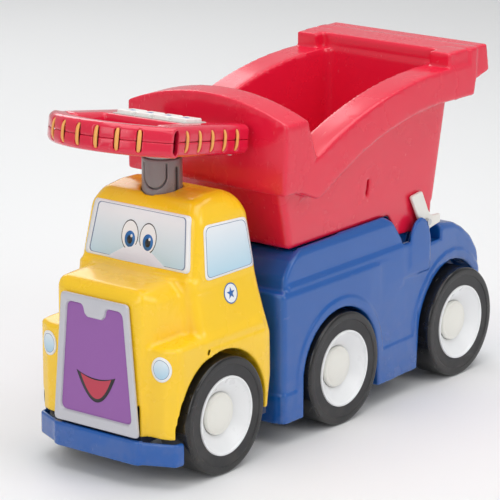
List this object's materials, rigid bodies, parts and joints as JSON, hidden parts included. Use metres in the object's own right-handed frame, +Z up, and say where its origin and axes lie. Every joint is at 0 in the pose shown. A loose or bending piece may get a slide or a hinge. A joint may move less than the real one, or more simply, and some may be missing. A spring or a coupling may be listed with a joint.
{
  "type": "toy dump truck",
  "caption": "Moulded plastic toy dump truck with a tipping bed, a side dump lever, a steering wheel with press keys and wide push-along wheels.",
  "frame": {"origin": "on the ground under the centre of the overall box, on the truck's centre plane", "axes": "front of the truck faces -Y, +X is the truck's left side, +Z up"},
  "size_m": [0.2414, 0.7005, 0.4253],
  "materials": {
    "yellow": "glossy moulded",
    "blue": "glossy moulded",
    "red": "glossy moulded",
    "white_plastic": "satin moulded",
    "tyre_black": "satin vinyl",
    "steel": "bright zinc",
    "silver_grey": "satin silver",
    "purple": "satin label",
    "sky_label": "satin printed label",
    "column_grey": "satin moulded",
    "collar_grey": "satin moulded",
    "dark_blue": "satin moulded",
    "orange": "satin moulded",
    "key_grey": "satin moulded",
    "board_green": "solder mask",
    "battery_label": "printed sleeve",
    "speaker_black": "paper cone in steel"
  },
  "bodies": {
    "chassis": {"axle_push_nuts": "steel", "axle_washers": "steel", "body_screws": "steel", "body_shell": "blue", "bumper_screws": "steel", "cab_screws": "steel", "cab_shell": "yellow", "chassis_frame": "dark_blue", "column_sleeve": "column_grey", "front_axle": "steel", "front_bumper": "blue", "grille_panel": "purple", "grille_surround": "silver_grey", "headlight_lenses": "sky_label", "headlight_rings": "white_plastic", "hinge_rod": "steel", "left_window_label": "sky_label", "middle_axle": "steel", "rear_axle": "steel", "rear_bumper": "blue", "right_window_label": "sky_label", "windshield_label": "sky_label"},
    "front_left_wheel": {"front_left_tyre": "tyre_black", "front_left_hub": "white_plastic", "front_left_hub_cap": "white_plastic"},
    "front_right_wheel": {"front_right_tyre": "tyre_black", "front_right_hub": "white_plastic", "front_right_hub_cap": "white_plastic"},
    "middle_left_wheel": {"middle_left_tyre": "tyre_black", "middle_left_hub": "white_plastic", "middle_left_hub_cap": "white_plastic"},
    "middle_right_wheel": {"middle_right_tyre": "tyre_black", "middle_right_hub": "white_plastic", "middle_right_hub_cap": "white_plastic"},
    "rear_left_wheel": {"rear_left_tyre": "tyre_black", "rear_left_hub": "white_plastic", "rear_left_hub_cap": "white_plastic"},
    "rear_right_wheel": {"rear_right_tyre": "tyre_black", "rear_right_hub": "white_plastic", "rear_right_hub_cap": "white_plastic"},
    "steering_wheel": {"batteries": "battery_label", "battery_door": "red", "circuit_board": "board_green", "column_shaft": "column_grey", "grip_ribs": "orange", "key_bezel": "key_grey", "speaker": "speaker_black", "steering_collar": "collar_grey", "wheel_lower_shell": "red", "wheel_screws": "steel", "wheel_upper_shell": "red"},
    "music_key_1": {"key_1": "white_plastic"},
    "music_key_2": {"key_2": "white_plastic"},
    "music_key_3": {"key_3": "white_plastic"},
    "music_key_4": {"key_4": "white_plastic"},
    "bed": {"dump_bed": "red"},
    "lever": {"dump_lever": "white_plastic"}
  },
  "joints": [
    {"name": "front_left_wheel_spin", "type": "hinge", "parent": "chassis", "child": "front_left_wheel", "pos_m": [0.087, -0.222, 0.07], "axis": [1, 0, 0], "continuous": true},
    {"name": "front_right_wheel_spin", "type": "hinge", "parent": "chassis", "child": "front_right_wheel", "pos_m": [-0.087, -0.222, 0.07], "axis": [1, 0, 0], "continuous": true},
    {"name": "middle_left_wheel_spin", "type": "hinge", "parent": "chassis", "child": "middle_left_wheel", "pos_m": [0.087, 0.0055, 0.07], "axis": [1, 0, 0], "continuous": true},
    {"name": "middle_right_wheel_spin", "type": "hinge", "parent": "chassis", "child": "middle_right_wheel", "pos_m": [-0.087, 0.0055, 0.07], "axis": [1, 0, 0], "continuous": true},
    {"name": "rear_left_wheel_spin", "type": "hinge", "parent": "chassis", "child": "rear_left_wheel", "pos_m": [0.087, 0.2535, 0.07], "axis": [1, 0, 0], "continuous": true},
    {"name": "rear_right_wheel_spin", "type": "hinge", "parent": "chassis", "child": "rear_right_wheel", "pos_m": [-0.087, 0.2535, 0.07], "axis": [1, 0, 0], "continuous": true},
    {"name": "steering_turn", "type": "hinge", "parent": "chassis", "child": "steering_wheel", "pos_m": [0, -0.2025, 0.37], "axis": [0, 0, 1], "range_deg": [-14, 3]},
    {"name": "bed_tilt", "type": "hinge", "parent": "chassis", "child": "bed", "pos_m": [0, 0.1935, 0.212], "axis": [-1, 0, 0], "range_deg": [0, 50]},
    {"name": "lever_turn", "type": "hinge", "parent": "chassis", "child": "lever", "pos_m": [0.0948, 0.1935, 0.212], "axis": [-1, 0, 0], "range_deg": [0, 50]},
    {"name": "key_1_press", "type": "slide", "parent": "steering_wheel", "child": "music_key_1", "axis": [0.0147, -0.1678, -0.9857], "range_m": [0, 0.002], "stiffness_N_per_m": 200, "springref_m": -0.002},
    {"name": "key_2_press", "type": "slide", "parent": "steering_wheel", "child": "music_key_2", "axis": [0.0147, -0.1678, -0.9857], "range_m": [0, 0.002], "stiffness_N_per_m": 200, "springref_m": -0.002},
    {"name": "key_3_press", "type": "slide", "parent": "steering_wheel", "child": "music_key_3", "axis": [0.0147, -0.1678, -0.9857], "range_m": [0, 0.002], "stiffness_N_per_m": 200, "springref_m": -0.002},
    {"name": "key_4_press", "type": "slide", "parent": "steering_wheel", "child": "music_key_4", "axis": [0.0147, -0.1678, -0.9857], "range_m": [0, 0.002], "stiffness_N_per_m": 200, "springref_m": -0.002}
  ],
  "couplings": [
    {"joint": "lever_turn", "follows": "bed_tilt", "ratio": 1}
  ]
}
